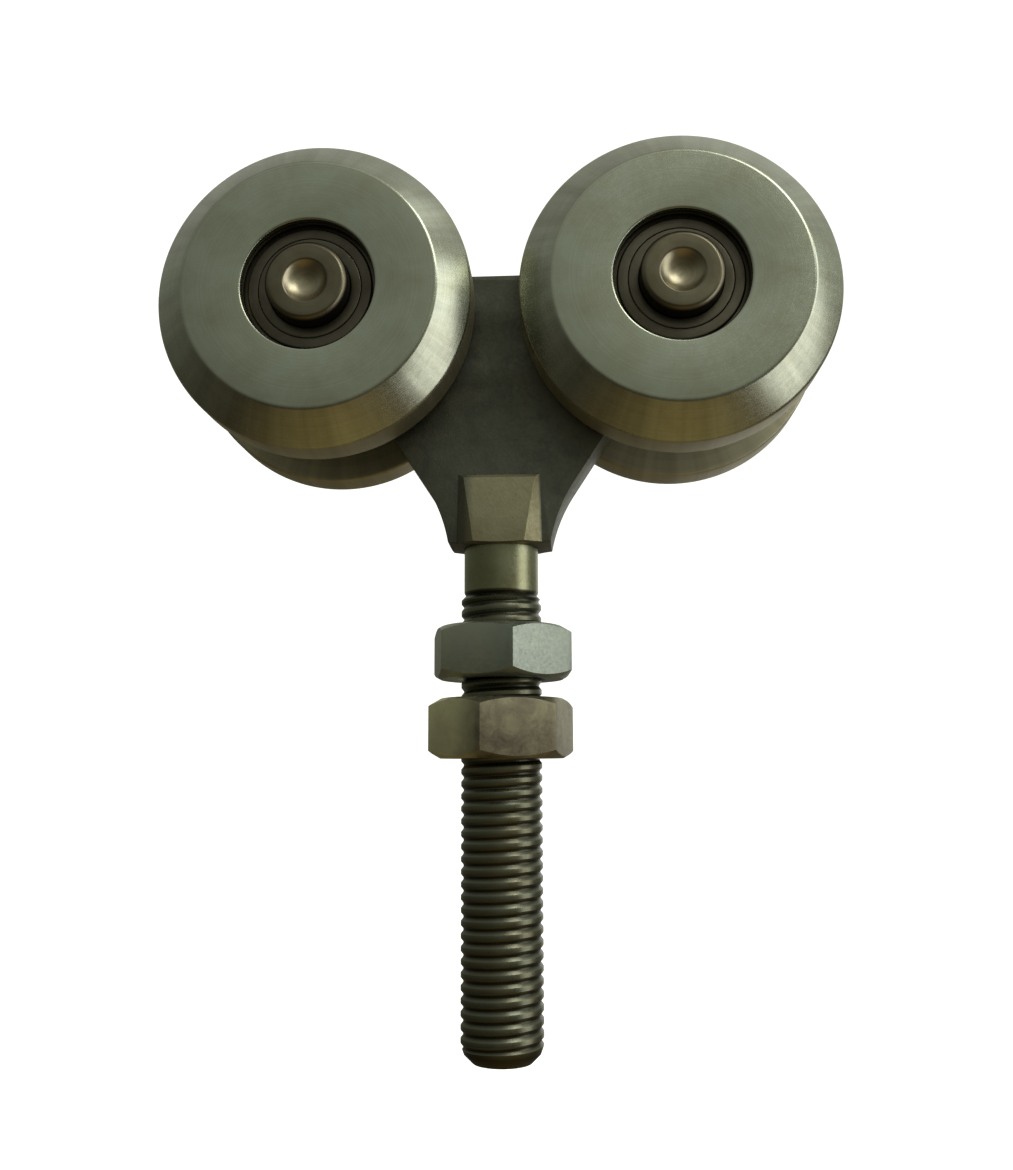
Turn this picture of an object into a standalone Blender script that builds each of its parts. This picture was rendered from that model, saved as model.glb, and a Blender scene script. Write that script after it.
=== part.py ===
"""Four-wheel hanging track trolley, modelled as an assembly of its separate pieces.

Frame: origin on the plane that the wheels roll on, midway between the four wheels.
+X runs along the track, +Z is up, and the front is -Y. Metres throughout.
"""

import math

import bmesh
import bpy

MM = 0.001

# Clearance kept between pieces that touch or are pressed together on the real trolley.
GAP = 0.3 * MM

# Wheels. Offsets are measured outwards along the axle, from the middle plane of the hanger body.
WHEEL_RADIUS = 19.5 * MM
WHEEL_FACE_RADIUS = 15.6 * MM
WHEEL_FACE_OFFSET = 14.3 * MM
WHEEL_CHAMFER_OFFSET = 10.6 * MM
WHEEL_BACK_OFFSET = 5.6 * MM
WHEEL_BACK_BEVEL = 0.4 * MM
WHEEL_OPENING_RADIUS = 8.1 * MM
AXLE_SPACING = 44.7 * MM
WHEEL_STEPS = 48

# Thin-section ball bearing, 10 x 19 x 5 mm, pressed into each wheel.
BEARING_BORE_RADIUS = 5.0 * MM
BEARING_OUTER_RADIUS = 9.5 * MM
BEARING_WIDTH = 5.0 * MM
BEARING_OFFSET = 7.8 * MM
INNER_SHOULDER_RADIUS = 6.3 * MM
OUTER_SHOULDER_RADIUS = 8.2 * MM
BALL_PITCH_RADIUS = 7.25 * MM
BALL_RADIUS = 1.1 * MM
BALL_COUNT = 9
CAGE_THICKNESS = 0.5 * MM
CAGE_WIDTH = 1.4 * MM
SHIELD_THICKNESS = 0.3 * MM
SHIELD_RECESS = 0.2 * MM
BEARING_STEPS = 24

# Axle pins and the spacer sleeves between the hanger body and the bearings.
AXLE_RADIUS = 5.0 * MM
AXLE_END_OFFSET = 15.3 * MM
AXLE_CHAMFER = 0.6 * MM
CENTRE_HOLE_RADIUS = 2.4 * MM
CENTRE_HOLE_DEPTH = 1.4 * MM
SPACER_RADIUS = 6.6 * MM
AXLE_STEPS = 32

# Hanger body: a flared plate with an eye round each axle and a neck for the stud.
BODY_THICKNESS = 8.0 * MM
EYE_RADIUS = 9.5 * MM
SADDLE_HEIGHT = 4.7 * MM
SADDLE_FILLET = 5.0 * MM
NECK_HALF_WIDTH = 6.3 * MM
NECK_BOTTOM = -30.2 * MM
FLANK_RADIUS = 20.0 * MM
FLANK_START = math.radians(9.0)
FLANK_END = math.radians(33.0)
EYE_FILLET = 6.0 * MM

# Wedge boss that thickens the neck; a short ledge above its crease joins it to the plate.
BOSS_CREASE = -21.8 * MM
BOSS_LEDGE = 0.5 * MM
BOSS_TOP_HALF_WIDTH = 5.1 * MM
BOSS_CREASE_HALF_WIDTH = 4.4 * MM
BOSS_CREASE_HALF_DEPTH = 4.5 * MM
BOSS_FACET_HALF_WIDTH = 3.1 * MM
BOSS_BOTTOM_HALF_WIDTH = 5.3 * MM
BOSS_HALF_DEPTH = 5.5 * MM

# Conical chamfer turned on the neck's lower end; it starts at the edge of the stud's bore.
NECK_CHAMFER_ANGLE = math.radians(10.0)
NECK_CHAMFER_REACH = 10.0 * MM

# Pendant stud, M10 x 1.5, with a plain shank and a tenon inside the neck.
STUD_RADIUS = 5.0 * MM
SHANK_RADIUS = 4.65 * MM
TENON_RADIUS = 2.9 * MM
STUD_BOTTOM = -91.9 * MM
STUD_CHAMFER = 1.4 * MM
THREAD_TOP = -36.0 * MM
THREAD_RUNOUT = 0.35 * MM
SHANK_TOP = -26.9 * MM
TENON_TOP = -16.0 * MM
STUD_STEPS = 32

# Hexagon nuts, 16 mm across flats. The blank radius is wider than the hexagon's corners.
NUT_ACROSS_FLATS = 16.0 * MM
NUT_BLANK_RADIUS = 10.4 * MM
NUT_CHAMFER_RADIUS = 7.6 * MM
NUT_CHAMFER_ANGLE = math.radians(30.0)
UPPER_NUT_HEIGHT = 6.5 * MM
LOWER_NUT_HEIGHT = 7.3 * MM
UPPER_NUT_TOP = -40.1 * MM
LOWER_NUT_TOP = -49.0 * MM
UPPER_NUT_TURN = math.radians(12.0)
LOWER_NUT_TURN = math.radians(-12.5)
NUT_STEPS = 36

# Every height above is measured from the axle centres, which lie one wheel radius over the origin.
AXLE_HEIGHT = WHEEL_RADIUS
HALF_SPACING = AXLE_SPACING / 2

# Wheel stations: sign along X and sign along Y.
STATIONS = {
    "front_left": (-1, -1),
    "front_right": (1, -1),
    "rear_left": (-1, 1),
    "rear_right": (1, 1),
}

SHARP_ANGLE = math.radians(35.0)
MERGE_DISTANCE = 0.001 * MM


def clear_scene():
    for leftover in list(bpy.data.objects):
        bpy.data.objects.remove(leftover, do_unlink=True)


def steel(name, colour, roughness, metallic=1.0):
    """One metal finish as a Principled material."""
    material = bpy.data.materials.new(name)
    material.use_nodes = True
    shader = material.node_tree.nodes["Principled BSDF"]
    shader.inputs["Base Color"].default_value = (*colour, 1.0)
    shader.inputs["Roughness"].default_value = roughness
    shader.inputs["Metallic"].default_value = metallic
    return material


def mesh_from(name, shape):
    """Turn a finished bmesh into a mesh with outward faces and round shading."""
    bmesh.ops.recalc_face_normals(shape, faces=shape.faces)
    mesh = bpy.data.meshes.new(name)
    shape.to_mesh(mesh)
    shape.free()
    mesh.shade_smooth()
    mesh.set_sharp_from_angle(angle=SHARP_ANGLE)
    return mesh


def turned(name, outline, steps, closed=True):
    """Spin an outline of (radius, height) points about Z.

    A closed outline makes a ring. An open one starts and ends on the axis and makes a solid.
    """
    shape = bmesh.new()
    points = [shape.verts.new((radius, 0.0, height)) for radius, height in outline]
    for start, end in zip(points, points[1:]):
        shape.edges.new((start, end))
    if closed:
        shape.edges.new((points[-1], points[0]))
    bmesh.ops.spin(
        shape,
        geom=shape.verts[:] + shape.edges[:],
        axis=(0.0, 0.0, 1.0),
        angle=math.tau,
        steps=steps,
        use_merge=True,
    )
    bmesh.ops.remove_doubles(shape, verts=shape.verts, dist=MERGE_DISTANCE)
    return mesh_from(name, shape)


def extruded(name, outline, half_depth):
    """A flat outline of (x, z) points made into a plate, centred on Y = 0."""
    shape = bmesh.new()
    corners = [shape.verts.new((x, -half_depth, z)) for x, z in outline]
    face = shape.faces.new(corners)
    grown = bmesh.ops.extrude_face_region(shape, geom=[face])
    moved = [item for item in grown["geom"] if isinstance(item, bmesh.types.BMVert)]
    bmesh.ops.translate(shape, verts=moved, vec=(0.0, 2 * half_depth, 0.0))
    return mesh_from(name, shape)


def convex(name, points):
    """The convex solid round a set of corner points."""
    shape = bmesh.new()
    for point in points:
        shape.verts.new(point)
    bmesh.ops.convex_hull(shape, input=shape.verts)
    bmesh.ops.dissolve_limit(
        shape,
        angle_limit=math.radians(1.0),
        verts=shape.verts,
        edges=shape.edges,
    )
    return mesh_from(name, shape)


def place(name, mesh, material, parent=None, location=(0.0, 0.0, 0.0), turn=0.0):
    """Add one piece to the scene."""
    piece = bpy.data.objects.new(name, mesh)
    if not mesh.materials:
        mesh.materials.append(material)
    piece.location = location
    piece.rotation_euler = (0.0, 0.0, turn)
    piece.parent = parent
    bpy.context.collection.objects.link(piece)
    return piece


def cutter(name, mesh, parent=None, location=(0.0, 0.0, 0.0), rotation=(0.0, 0.0, 0.0)):
    """A guide shape that a Boolean reads and the finished part leaves out."""
    guide = bpy.data.objects.new(name, mesh)
    guide.location = location
    guide.rotation_euler = rotation
    guide.parent = parent
    guide.hide_render = True
    guide.display_type = "WIRE"
    bpy.context.collection.objects.link(guide)
    return guide


def combine(piece, guide, operation):
    boolean = piece.modifiers.new(guide.name, "BOOLEAN")
    boolean.operation = operation
    boolean.solver = "EXACT"
    boolean.object = guide


def arc(centre_x, centre_z, radius, start, end, count):
    """Points along an arc, both ends included. Angles run from +X towards +Z."""
    points = []
    for index in range(count):
        angle = start + (end - start) * index / (count - 1)
        points.append((centre_x + radius * math.cos(angle), centre_z + radius * math.sin(angle)))
    return points


# ---------------------------------------------------------------- wheel stations


def wheel_mesh():
    seat_radius = BEARING_OUTER_RADIUS + GAP
    seat_offset = BEARING_OFFSET + BEARING_WIDTH + GAP
    outline = [
        (WHEEL_OPENING_RADIUS, WHEEL_FACE_OFFSET),
        (WHEEL_FACE_RADIUS, WHEEL_FACE_OFFSET),
        (WHEEL_RADIUS, WHEEL_CHAMFER_OFFSET),
        (WHEEL_RADIUS, WHEEL_BACK_OFFSET + WHEEL_BACK_BEVEL),
        (WHEEL_RADIUS - WHEEL_BACK_BEVEL, WHEEL_BACK_OFFSET),
        (seat_radius, WHEEL_BACK_OFFSET),
        (seat_radius, seat_offset),
        (WHEEL_OPENING_RADIUS, seat_offset),
    ]
    return turned("wheel", outline, WHEEL_STEPS)


def groove(shoulder_radius, side):
    """Ball groove of a bearing ring: an arc round the ball circle, side -1 inside or +1 outside."""
    groove_radius = BALL_RADIUS + GAP
    centre = BEARING_OFFSET + BEARING_WIDTH / 2
    spread = math.acos(abs(shoulder_radius - BALL_PITCH_RADIUS) / groove_radius)
    count = 5
    points = []
    for index in range(count):
        angle = spread * (2 * index / (count - 1) - 1)
        radius = BALL_PITCH_RADIUS + side * groove_radius * math.cos(angle)
        points.append((radius, centre + groove_radius * math.sin(angle)))
    return points


def inner_ring_mesh():
    bore = BEARING_BORE_RADIUS + GAP
    back = BEARING_OFFSET
    front = BEARING_OFFSET + BEARING_WIDTH
    outline = [(bore, back), (INNER_SHOULDER_RADIUS, back)]
    outline += groove(INNER_SHOULDER_RADIUS, -1)
    outline += [(INNER_SHOULDER_RADIUS, front), (bore, front)]
    return turned("bearing_inner_ring", outline, BEARING_STEPS)


def outer_ring_mesh():
    back = BEARING_OFFSET
    front = BEARING_OFFSET + BEARING_WIDTH
    outline = [(BEARING_OUTER_RADIUS, back), (OUTER_SHOULDER_RADIUS, back)]
    outline += groove(OUTER_SHOULDER_RADIUS, 1)
    outline += [(OUTER_SHOULDER_RADIUS, front), (BEARING_OUTER_RADIUS, front)]
    return turned("bearing_outer_ring", outline, BEARING_STEPS)


def rectangle(inner, outer, low, high):
    return [(inner, low), (outer, low), (outer, high), (inner, high)]


def shield_mesh(name, low):
    inner = INNER_SHOULDER_RADIUS + GAP
    outer = OUTER_SHOULDER_RADIUS - GAP
    return turned(name, rectangle(inner, outer, low, low + SHIELD_THICKNESS), BEARING_STEPS)


def spacer_mesh():
    low = BODY_THICKNESS / 2 + GAP
    high = BEARING_OFFSET - GAP
    return turned("spacer", rectangle(AXLE_RADIUS + GAP, SPACER_RADIUS, low, high), BEARING_STEPS)


def ball_cage_mesh():
    """Balls and their cage ring, united into one body."""
    middle = BEARING_OFFSET + BEARING_WIDTH / 2
    balls = bmesh.new()
    for index in range(BALL_COUNT):
        angle = math.tau * index / BALL_COUNT
        ball = bmesh.ops.create_icosphere(balls, subdivisions=1, radius=BALL_RADIUS)
        position = (BALL_PITCH_RADIUS * math.cos(angle), BALL_PITCH_RADIUS * math.sin(angle), middle)
        bmesh.ops.translate(balls, verts=ball["verts"], vec=position)
    ring = turned(
        "cage_ring",
        rectangle(
            BALL_PITCH_RADIUS - CAGE_THICKNESS / 2,
            BALL_PITCH_RADIUS + CAGE_THICKNESS / 2,
            middle - CAGE_WIDTH / 2,
            middle + CAGE_WIDTH / 2,
        ),
        2 * BALL_COUNT,
    )
    blank = cutter("cage_blank", ring)
    guide = cutter("cage_balls", mesh_from("cage_balls", balls))
    combine(blank, guide, "UNION")
    depsgraph = bpy.context.evaluated_depsgraph_get()
    united = bpy.data.meshes.new_from_object(blank.evaluated_get(depsgraph))
    united.name = "ball_cage"
    bpy.data.objects.remove(blank, do_unlink=True)
    bpy.data.objects.remove(guide, do_unlink=True)
    return united


def make_wheel_stations(finish):
    """Four stations share their meshes. Each one's +Z points outwards along its axle."""
    inner_shield_low = BEARING_OFFSET + SHIELD_RECESS
    outer_shield_low = BEARING_OFFSET + BEARING_WIDTH - SHIELD_RECESS - SHIELD_THICKNESS
    pieces = {
        "wheel": (wheel_mesh(), finish["wheel"]),
        "bearing_outer_ring": (outer_ring_mesh(), finish["bearing"]),
        "bearing_inner_ring": (inner_ring_mesh(), finish["bearing"]),
        "bearing_balls": (ball_cage_mesh(), finish["balls"]),
        "outer_shield": (shield_mesh("outer_shield", outer_shield_low), finish["shield"]),
        "inner_shield": (shield_mesh("inner_shield", inner_shield_low), finish["shield"]),
        "spacer": (spacer_mesh(), finish["axle"]),
    }
    for station, (side, facing) in STATIONS.items():
        hub = bpy.data.objects.new(station + "_hub", None)
        hub.location = (side * HALF_SPACING, 0.0, AXLE_HEIGHT)
        hub.rotation_euler = (-facing * math.radians(90.0), 0.0, 0.0)
        bpy.context.collection.objects.link(hub)
        for kind, (mesh, material) in pieces.items():
            place(f"{station}_{kind}", mesh, material, parent=hub)


def make_axles(finish):
    """One pin through the body carries the front and the rear wheel of each side."""
    end = AXLE_END_OFFSET
    half = [
        (0.0, end - CENTRE_HOLE_DEPTH),
        (CENTRE_HOLE_RADIUS, end),
        (AXLE_RADIUS - AXLE_CHAMFER, end),
        (AXLE_RADIUS, end - AXLE_CHAMFER),
    ]
    outline = half + [(radius, -height) for radius, height in reversed(half)]
    mesh = turned("axle", outline, AXLE_STEPS, closed=False)
    for name, side in (("left_axle", -1), ("right_axle", 1)):
        axle = place(name, mesh, finish["axle"], location=(side * HALF_SPACING, 0.0, AXLE_HEIGHT))
        axle.rotation_euler = (math.radians(90.0), 0.0, 0.0)


# ---------------------------------------------------------------- hanger body


def right_flank():
    """Right edge of the body from the neck's foot up to the saddle's middle, about the axle line."""
    points = []
    count = 7
    for index in range(count):
        heading = FLANK_START + (FLANK_END - FLANK_START) * index / (count - 1)
        x = NECK_HALF_WIDTH + FLANK_RADIUS * (math.cos(FLANK_START) - math.cos(heading))
        z = NECK_BOTTOM + FLANK_RADIUS * (math.sin(heading) - math.sin(FLANK_START))
        points.append((x, z))

    # The straight flank runs on until a fillet outside it also touches the eye. The fillet's centre
    # keeps one fillet radius from the flank and one fillet plus one eye radius from the eye.
    start_x, start_z = points[-1]
    centre_x = start_x + EYE_FILLET * math.cos(FLANK_END) - HALF_SPACING
    centre_z = start_z - EYE_FILLET * math.sin(FLANK_END)
    along = centre_x * math.sin(FLANK_END) + centre_z * math.cos(FLANK_END)
    reach = centre_x**2 + centre_z**2 - (EYE_RADIUS + EYE_FILLET) ** 2
    run = -along - math.sqrt(along**2 - reach)
    centre_x += run * math.sin(FLANK_END)
    centre_z += run * math.cos(FLANK_END)
    touch = math.atan2(centre_z, centre_x)
    points += arc(
        HALF_SPACING + centre_x,
        centre_z,
        EYE_FILLET,
        math.pi - FLANK_END,
        touch + math.pi,
        5,
    )

    # The eye itself, then the fillet down to the flat saddle between the eyes.
    saddle_centre_z = SADDLE_HEIGHT + SADDLE_FILLET
    saddle_centre_x = -math.sqrt((EYE_RADIUS + SADDLE_FILLET) ** 2 - saddle_centre_z**2)
    leave = math.atan2(saddle_centre_z, saddle_centre_x)
    points += arc(HALF_SPACING, 0.0, EYE_RADIUS, touch, leave, 20)[1:]
    points += arc(
        HALF_SPACING + saddle_centre_x,
        saddle_centre_z,
        SADDLE_FILLET,
        leave - math.pi,
        math.radians(-90.0),
        5,
    )[1:]
    return points


def boss_mesh(facing):
    """Wedge on one face of the neck with a short ledge on top, rooted inside the plate."""
    root = facing * BODY_THICKNESS / 4
    face = facing * BODY_THICKNESS / 2
    crease = facing * BOSS_CREASE_HALF_DEPTH
    front = facing * BOSS_HALF_DEPTH
    corners = []
    for side in (-1, 1):
        corners.append((side * BOSS_TOP_HALF_WIDTH, face, BOSS_CREASE + BOSS_LEDGE))
        corners.append((side * BOSS_TOP_HALF_WIDTH, root, BOSS_CREASE + BOSS_LEDGE))
        corners.append((side * BOSS_CREASE_HALF_WIDTH, crease, BOSS_CREASE))
        corners.append((side * BOSS_BOTTOM_HALF_WIDTH, face, NECK_BOTTOM))
        corners.append((side * BOSS_BOTTOM_HALF_WIDTH, root, NECK_BOTTOM))
        corners.append((side * BOSS_FACET_HALF_WIDTH, front, NECK_BOTTOM))
    return convex("boss", corners)


def stud_bore_mesh():
    """Stepped bore from under the neck up into the plate."""
    mouth = NECK_BOTTOM - GAP
    outline = [
        (0.0, TENON_TOP + GAP),
        (TENON_RADIUS + GAP, TENON_TOP + GAP),
        (TENON_RADIUS + GAP, SHANK_TOP + GAP),
        (SHANK_RADIUS + GAP, SHANK_TOP + GAP),
        (SHANK_RADIUS + GAP, mouth),
        (0.0, mouth),
    ]
    return turned("stud_bore", outline, STUD_STEPS, closed=False)


def neck_chamfer_mesh():
    """Ring that cuts a cone on the neck's lower end, from the edge of the bore outwards."""
    rise = math.tan(NECK_CHAMFER_ANGLE)
    bore = SHANK_RADIUS + GAP
    outline = [
        (bore - GAP, NECK_BOTTOM - GAP * rise),
        (NECK_CHAMFER_REACH, NECK_BOTTOM - GAP * rise),
        (NECK_CHAMFER_REACH, NECK_BOTTOM + (NECK_CHAMFER_REACH - bore) * rise),
    ]
    return turned("neck_chamfer", outline, STUD_STEPS)


def axle_bore_mesh():
    reach = BODY_THICKNESS
    outline = [
        (0.0, reach),
        (AXLE_RADIUS + GAP, reach),
        (AXLE_RADIUS + GAP, -reach),
        (0.0, -reach),
    ]
    return turned("axle_bore", outline, AXLE_STEPS, closed=False)


def make_hanger_body(finish):
    right = right_flank()
    left = [(-x, z) for x, z in reversed(right)]
    plate = extruded("hanger_body", right + left, BODY_THICKNESS / 2)
    body = place("hanger_body", plate, finish["body"], location=(0.0, 0.0, AXLE_HEIGHT))
    for name, facing in (("front_boss", -1), ("rear_boss", 1)):
        combine(body, cutter(name, boss_mesh(facing), parent=body), "UNION")
    combine(body, cutter("neck_chamfer", neck_chamfer_mesh(), parent=body), "DIFFERENCE")
    combine(body, cutter("stud_bore", stud_bore_mesh(), parent=body), "DIFFERENCE")
    bore = axle_bore_mesh()
    for name, side in (("left_bore", -1), ("right_bore", 1)):
        guide = cutter(
            name,
            bore,
            parent=body,
            location=(side * HALF_SPACING, 0.0, 0.0),
            rotation=(math.radians(90.0), 0.0, 0.0),
        )
        combine(body, guide, "DIFFERENCE")


# ---------------------------------------------------------------- stud and nuts


def make_stud(finish):
    outline = [
        (0.0, TENON_TOP),
        (TENON_RADIUS, TENON_TOP),
        (TENON_RADIUS, SHANK_TOP),
        (SHANK_RADIUS, SHANK_TOP),
        (SHANK_RADIUS, THREAD_TOP),
        (STUD_RADIUS, THREAD_TOP - THREAD_RUNOUT),
        (STUD_RADIUS, STUD_BOTTOM + STUD_CHAMFER),
        (STUD_RADIUS - STUD_CHAMFER, STUD_BOTTOM),
        (0.0, STUD_BOTTOM),
    ]
    mesh = turned("pendant_stud", outline, STUD_STEPS, closed=False)
    place("pendant_stud", mesh, finish["stud"], location=(0.0, 0.0, AXLE_HEIGHT))


def hexagon_mesh(height):
    """Plain hexagon prism standing on Z = 0, with one corner on the -Y side."""
    shape = bmesh.new()
    corner_radius = NUT_ACROSS_FLATS / 2 / math.cos(math.radians(30.0))
    corners = []
    for index in range(6):
        angle = math.radians(60.0 * index - 90.0)
        x = corner_radius * math.cos(angle)
        y = corner_radius * math.sin(angle)
        corners.append(shape.verts.new((x, y, 0.0)))
    face = shape.faces.new(corners)
    grown = bmesh.ops.extrude_face_region(shape, geom=[face])
    moved = [item for item in grown["geom"] if isinstance(item, bmesh.types.BMVert)]
    bmesh.ops.translate(shape, verts=moved, vec=(0.0, 0.0, height))
    return mesh_from("hexagon", shape)


def nut_round_mesh(height):
    """The turned form of a nut: conical chamfers at both ends and the clearance bore."""
    drop = (NUT_BLANK_RADIUS - NUT_CHAMFER_RADIUS) * math.tan(NUT_CHAMFER_ANGLE)
    bore = STUD_RADIUS + GAP
    outline = [
        (bore, 0.0),
        (NUT_CHAMFER_RADIUS, 0.0),
        (NUT_BLANK_RADIUS, drop),
        (NUT_BLANK_RADIUS, height - drop),
        (NUT_CHAMFER_RADIUS, height),
        (bore, height),
    ]
    return turned("nut_round", outline, NUT_STEPS)


def make_nuts(finish):
    """Each nut is its turned form, milled to the hexagon."""
    nuts = (
        ("upper_nut", UPPER_NUT_TOP, UPPER_NUT_HEIGHT, UPPER_NUT_TURN),
        ("lower_nut", LOWER_NUT_TOP, LOWER_NUT_HEIGHT, LOWER_NUT_TURN),
    )
    for name, top, height, turn in nuts:
        position = (0.0, 0.0, AXLE_HEIGHT + top - height)
        nut = place(name, nut_round_mesh(height), finish[name], location=position, turn=turn)
        combine(nut, cutter(name + "_hexagon", hexagon_mesh(height), parent=nut), "INTERSECT")


def make_finishes():
    return {
        "wheel": steel("wheel_steel", (0.22, 0.23, 0.18), 0.38),
        "bearing": steel("bearing_steel", (0.30, 0.30, 0.27), 0.30),
        "balls": steel("ball_steel", (0.55, 0.55, 0.52), 0.18),
        "shield": steel("shield_steel", (0.06, 0.06, 0.05), 0.50),
        "axle": steel("axle_steel", (0.20, 0.18, 0.13), 0.40),
        "body": steel("body_steel", (0.07, 0.07, 0.06), 0.55),
        "stud": steel("stud_steel", (0.09, 0.09, 0.07), 0.42),
        "upper_nut": steel("upper_nut_steel", (0.28, 0.31, 0.27), 0.32),
        "lower_nut": steel("lower_nut_steel", (0.24, 0.22, 0.15), 0.36),
    }


def main():
    clear_scene()
    finish = make_finishes()
    make_hanger_body(finish)
    make_axles(finish)
    make_wheel_stations(finish)
    make_stud(finish)
    make_nuts(finish)


main()
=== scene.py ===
"""Looks for the hanging track trolley: fine turned, forged and threaded steel pieces."""

import math

import bmesh
import bpy
from mathutils import Matrix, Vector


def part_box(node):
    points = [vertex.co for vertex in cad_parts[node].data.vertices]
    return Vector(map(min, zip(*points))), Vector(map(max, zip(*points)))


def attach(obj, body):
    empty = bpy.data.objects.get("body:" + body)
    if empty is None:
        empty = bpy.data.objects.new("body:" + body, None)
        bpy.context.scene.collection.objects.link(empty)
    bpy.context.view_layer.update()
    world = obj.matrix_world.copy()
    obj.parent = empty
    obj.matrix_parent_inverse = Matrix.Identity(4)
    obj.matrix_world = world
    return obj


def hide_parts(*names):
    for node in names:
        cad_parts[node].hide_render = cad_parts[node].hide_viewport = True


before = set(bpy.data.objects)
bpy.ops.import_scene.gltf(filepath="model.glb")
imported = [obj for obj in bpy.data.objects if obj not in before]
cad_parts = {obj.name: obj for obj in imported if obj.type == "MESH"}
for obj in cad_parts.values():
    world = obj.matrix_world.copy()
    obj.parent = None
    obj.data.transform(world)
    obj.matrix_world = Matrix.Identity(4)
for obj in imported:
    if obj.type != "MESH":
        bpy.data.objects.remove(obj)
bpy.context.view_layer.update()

MM = 0.001

# ---------------------------------------------------------------- sizes read from the frame

STATIONS = {
    "front_left": (-1, -1),
    "front_right": (1, -1),
    "rear_left": (-1, 1),
    "rear_right": (1, 1),
}

wheel_low, wheel_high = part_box("front_right_wheel")
axle_low, axle_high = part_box("right_axle")
stud_low, stud_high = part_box("pendant_stud")
body_low, body_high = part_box("hanger_body")
upper_low, upper_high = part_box("upper_nut")
lower_low, lower_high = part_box("lower_nut")
ring_low, ring_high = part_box("front_right_bearing_inner_ring")
spacer_low, spacer_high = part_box("front_right_spacer")

WHEEL_RADIUS = (wheel_high.z - wheel_low.z) / 2
AXLE_HEIGHT = (wheel_high.z + wheel_low.z) / 2
HALF_SPACING = (wheel_high.x + wheel_low.x) / 2
WHEEL_FACE_OFFSET = -wheel_low.y
WHEEL_BACK_OFFSET = -wheel_high.y
AXLE_RADIUS = (axle_high.x - axle_low.x) / 2
AXLE_END_OFFSET = -axle_low.y
STUD_RADIUS = (stud_high.x - stud_low.x) / 2
STUD_BOTTOM = stud_low.z - AXLE_HEIGHT
NECK_BOTTOM = body_low.z - AXLE_HEIGHT
BOSS_HALF_DEPTH = body_high.y
EYE_RADIUS = body_high.x - HALF_SPACING
BEARING_BACK = -ring_high.y
BEARING_FRONT = -ring_low.y
SPACER_RADIUS = (spacer_high.x - spacer_low.x) / 2

# ---------------------------------------------------------------- sizes of the fine shapes

FIT = 0.03 * MM

WHEEL_FACE_RADIUS = 15.6 * MM
WHEEL_CHAMFER_OFFSET = 10.6 * MM
WHEEL_OPENING_RADIUS = 8.1 * MM
BEARING_OUTER_RADIUS = 9.5 * MM
INNER_SHOULDER_RADIUS = 6.3 * MM
OUTER_SHOULDER_RADIUS = 8.2 * MM
BALL_PITCH_RADIUS = 7.25 * MM
BALL_RADIUS = 1.1 * MM
BALL_COUNT = 9
SEAL_RADIUS = 7.55 * MM
DIMPLE_RADIUS = 2.7 * MM
DIMPLE_DEPTH = 1.3 * MM

BODY_HALF_THICKNESS = 4.0 * MM
SADDLE_HEIGHT = 4.7 * MM
SADDLE_FILLET = 5.0 * MM
NECK_HALF_WIDTH = 6.3 * MM
FLANK_RADIUS = 20.0 * MM
FLANK_START = math.radians(9.0)
FLANK_END = math.radians(33.0)
EYE_FILLET = 6.0 * MM
BODY_EDGE = 0.25 * MM

BOSS_CREASE = -21.8 * MM
BOSS_LEDGE = 0.5 * MM
BOSS_TOP_HALF_WIDTH = 5.1 * MM
BOSS_CREASE_HALF_WIDTH = 4.4 * MM
BOSS_CREASE_HALF_DEPTH = 4.5 * MM
BOSS_FACET_HALF_WIDTH = 3.1 * MM
BOSS_BOTTOM_HALF_WIDTH = 5.3 * MM
NECK_BORE_RADIUS = 4.95 * MM
NECK_CHAMFER_REACH = 10.0 * MM
NECK_CHAMFER_ANGLE = math.radians(10.0)

THREAD_PITCH = 1.5 * MM
THREAD_TOP = -36.0 * MM
THREAD_DEPTH = 0.32 * MM
SHANK_RADIUS = 4.65 * MM
STUD_CHAMFER = 1.4 * MM

NUT_ACROSS_FLATS = 16.0 * MM
NUT_BLANK_RADIUS = 10.4 * MM
NUT_CHAMFER_RADIUS = 7.6 * MM
NUT_CHAMFER_ANGLE = math.radians(30.0)
UPPER_NUT_TURN = math.radians(12.0)
LOWER_NUT_TURN = math.radians(-12.5)

# Running clearance of a nut on the stud, and the countersink of its bore.
NUT_CLEARANCE = 0.05 * MM
NUT_SINK = 0.4 * MM
NUT_EDGE = 0.16 * MM

# The dimple's colour is painted this much brighter than the rest of the axle, a painted highlight.
DIMPLE_PAINTED_HIGHLIGHT = 2.1

# Camera, measured from the origin on the track plane.
CAMERA_PLACE = (9.51 * MM, -147.02 * MM, -38.08 * MM)
CAMERA_TURN = 0.0602
CAMERA_RISE = 0.1543
CAMERA_ROLL = -0.003
CAMERA_LENS = 36.4

FLOOR_DROP = 60.0 * MM
FLOOR_REACH = 1.6
FLOOR_CURVE = 0.6
BACKDROP_HEIGHT = 3.0
FLOOR_GLOW = 0.97


# ---------------------------------------------------------------- material helpers


def new_material(name, roughness, anisotropy=0.0):
    """A metal with its Principled shader, and the tree to build its pattern in."""
    material = bpy.data.materials.new(name)
    material.use_nodes = True
    tree = material.node_tree
    shader = tree.nodes["Principled BSDF"]
    shader.inputs["Metallic"].default_value = 1.0
    shader.inputs["Roughness"].default_value = roughness
    shader.inputs["Anisotropic"].default_value = anisotropy
    return material, tree, shader


def add(tree, kind, inputs=None, **settings):
    """A node with its settings, and its inputs as values or as sockets to link from."""
    node = tree.nodes.new(kind)
    for key, value in settings.items():
        setattr(node, key, value)
    for key, value in (inputs or {}).items():
        if isinstance(value, bpy.types.NodeSocket):
            tree.links.new(value, node.inputs[key])
        else:
            node.inputs[key].default_value = value
    return node


def object_space(tree):
    return add(tree, "ShaderNodeTexCoord").outputs["Object"]


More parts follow.
